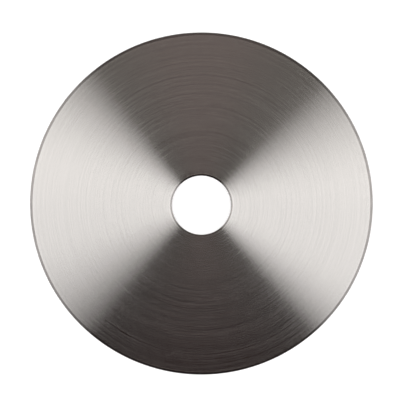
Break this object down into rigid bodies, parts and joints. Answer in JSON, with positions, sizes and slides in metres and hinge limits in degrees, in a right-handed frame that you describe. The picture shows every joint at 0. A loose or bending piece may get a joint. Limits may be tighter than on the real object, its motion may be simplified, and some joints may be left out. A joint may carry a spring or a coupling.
{
  "type": "rigid reflector disc",
  "caption": "Flat round steel plate, circular-brushed on its face, with a plain centre hole and small bevels; throws light back and is clamped through its hole.",
  "frame": {"origin": "on the axis of the centre hole, in the plane of the back face", "axes": "+Z along the axis of the hole, out of the reflecting face; +X and +Y lie in the plate and are alike"},
  "size_m": [0.24, 0.24, 0.003],
  "materials": {
    "brushed_steel": "satin, brushed in circles round the centre hole"
  },
  "bodies": {
    "root": {"reflector_disc": "brushed_steel"}
  },
  "joints": []
}
